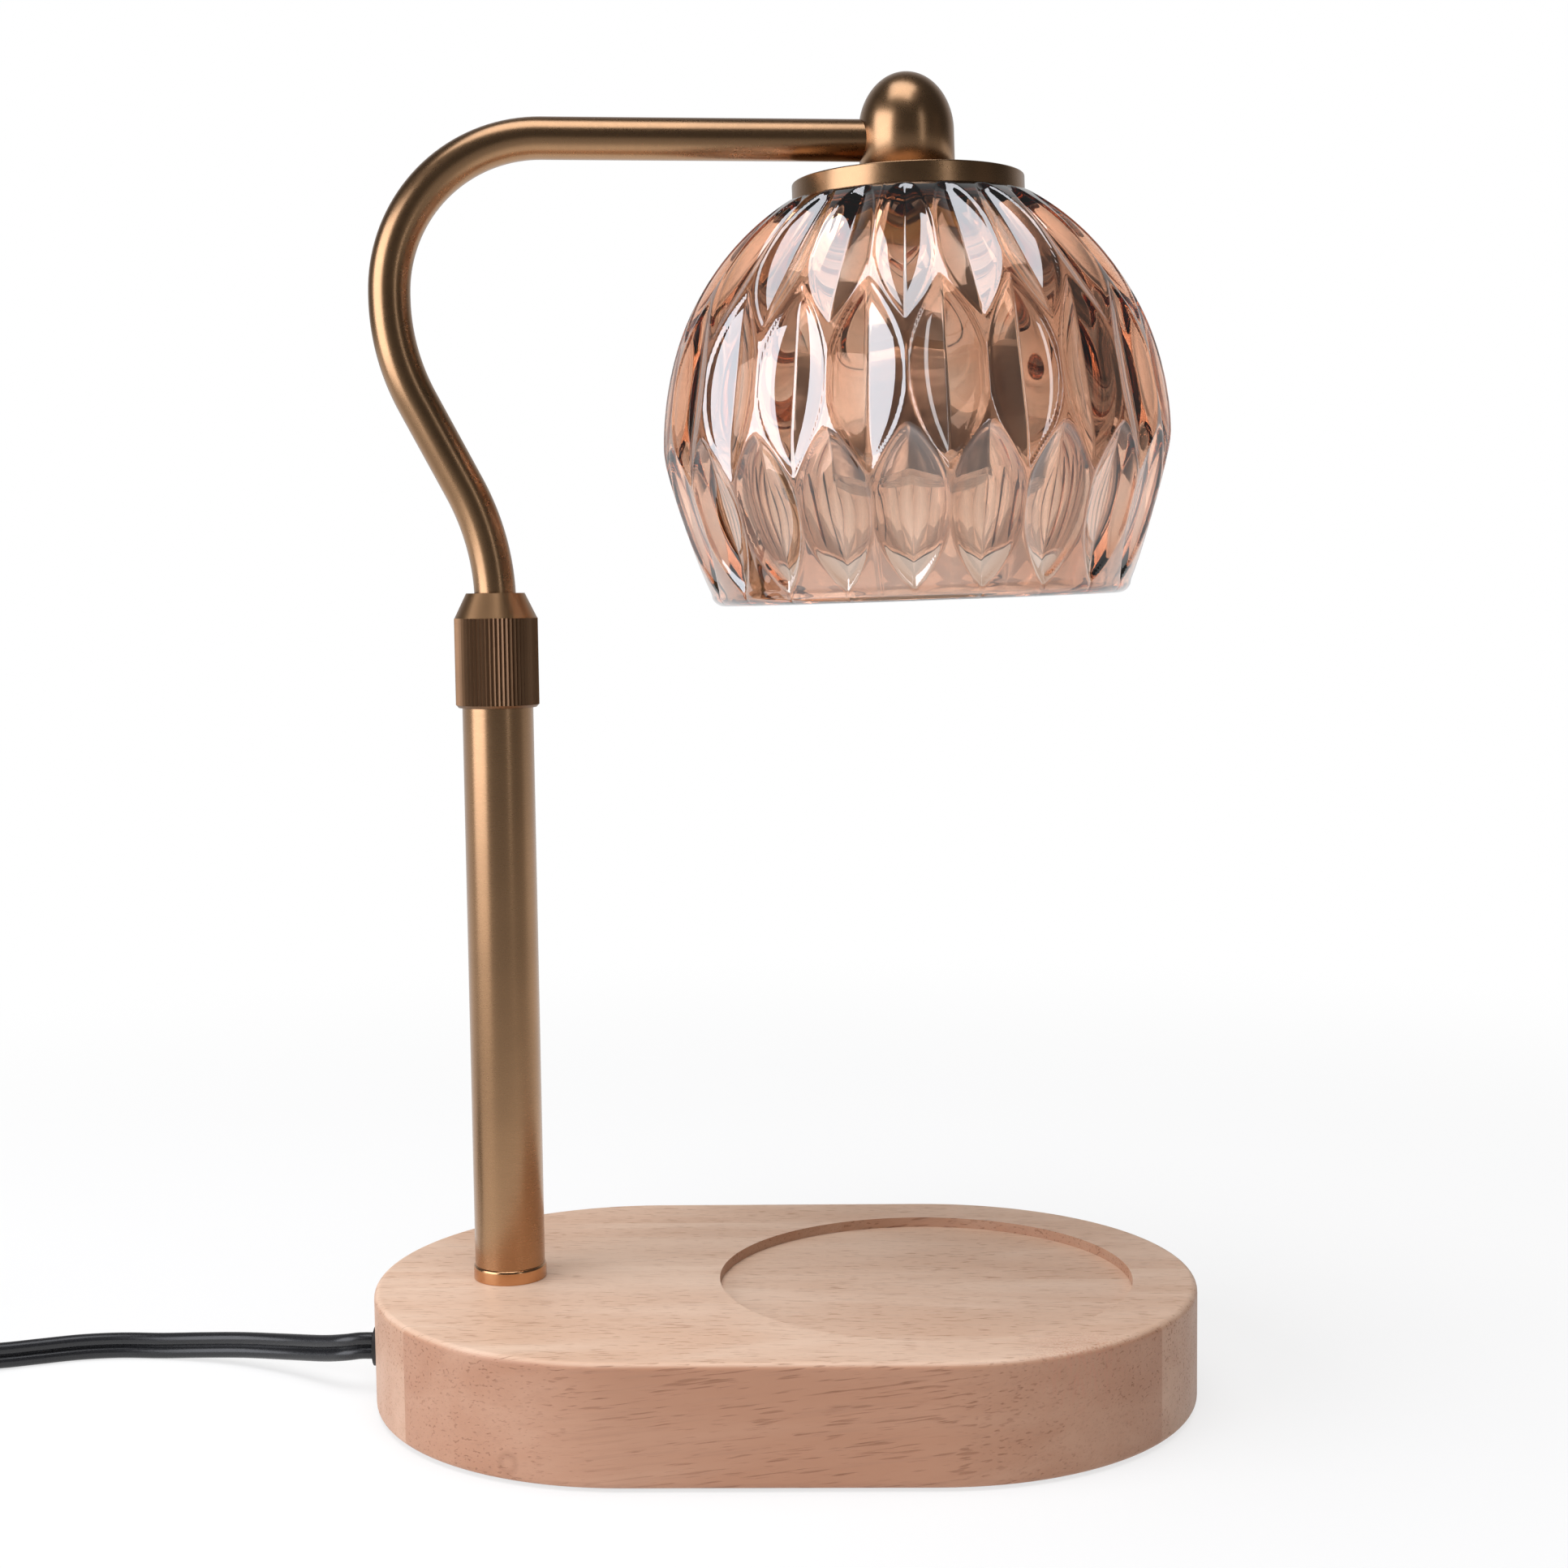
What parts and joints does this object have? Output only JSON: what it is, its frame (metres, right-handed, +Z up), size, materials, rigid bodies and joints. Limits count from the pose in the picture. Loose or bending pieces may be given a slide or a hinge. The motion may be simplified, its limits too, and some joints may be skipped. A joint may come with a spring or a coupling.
{
  "type": "candle warmer lamp",
  "caption": "Candle warmer lamp: a reflector bulb in a cut-glass shade hangs from a swan-neck arm that slides and swings in a post on a wooden base with a candle well.",
  "frame": {"origin": "on the table, under the middle of the wooden base", "axes": "+X along the base towards the candle well, +Y towards the back, +Z up"},
  "size_m": [0.5098, 0.1527, 0.3514],
  "materials": {
    "pale_wood": "fine sanded beech or rubberwood with a thin matt lacquer",
    "foam_rubber": "closed-cell foam sheet, matt",
    "black_plastic": "fine spark-eroded texture",
    "black_rubber": "soft satin cord jacket",
    "zinc_steel": "turned and zinc plated",
    "antique_brass": "satin brushed antique-brass plating under clear lacquer",
    "dark_bronze": "knurled, satin antique-bronze plating",
    "white_nylon": "machined nylon",
    "plain_brass": "bare turned or stamped brass",
    "white_ceramic": "glazed ceramic",
    "amber_glass": "pressed amber glass with cut leaves and fire-polished edges",
    "clear_glass": "clear pressed glass with a bright reflecting coat inside",
    "green_board": "solder-masked board"
  },
  "bodies": {
    "stand": {"wood_base": "pale_wood", "base_pad": "foam_rubber", "bottom_cover": "black_plastic", "cover_screws": "zinc_steel", "grommet": "black_rubber", "inner_lead": "black_rubber", "base_stud": "zinc_steel", "stud_washer": "zinc_steel", "stud_nut": "zinc_steel", "foot_ring": "antique_brass", "post_tube": "antique_brass", "post_insert": "zinc_steel", "post_neck": "zinc_steel", "cord": "black_rubber", "cord_coil": "black_rubber", "switch_base": "black_plastic", "switch_cover": "black_plastic", "switch_board": "green_board", "switch_screws": "zinc_steel", "plug_body": "black_plastic", "plug_blades": "plain_brass"},
    "lock_collar": {"lock_collar": "dark_bronze", "press_ring": "zinc_steel"},
    "collet": {"collet": "white_nylon"},
    "arm": {"arm_tube": "antique_brass", "arm_guide": "white_nylon", "arm_lead": "black_rubber", "dome_cap": "antique_brass", "head_nipple": "zinc_steel", "shade_disc": "antique_brass", "lamp_holder": "white_ceramic", "holder_contacts": "plain_brass", "clamp_ring": "plain_brass", "glass_shade": "amber_glass", "bulb_base": "white_ceramic", "bulb_pins": "zinc_steel", "bulb_reflector": "clear_glass", "bulb_capsule": "white_ceramic", "bulb_lens": "clear_glass"},
    "dimmer_wheel": {"switch_wheel": "dark_bronze"}
  },
  "joints": [
    {"name": "collar_turn", "type": "hinge", "parent": "stand", "child": "lock_collar", "pos_m": [-0.0743, 0, 0.2], "axis": [0, 0, 1], "range_deg": [0, 360]},
    {"name": "arm_swivel", "type": "hinge", "parent": "stand", "child": "collet", "pos_m": [-0.0743, 0, 0.2], "axis": [0, 0, 1], "range_deg": [-150, 150]},
    {"name": "arm_height", "type": "slide", "parent": "collet", "child": "arm", "axis": [0, 0, 1], "range_m": [0, 0.06]},
    {"name": "dimmer_turn", "type": "hinge", "parent": "stand", "child": "dimmer_wheel", "pos_m": [-0.28308, -0.00681, 0.0109], "axis": [0.3714, -0.9285, 0], "range_deg": [0, 270]}
  ]
}
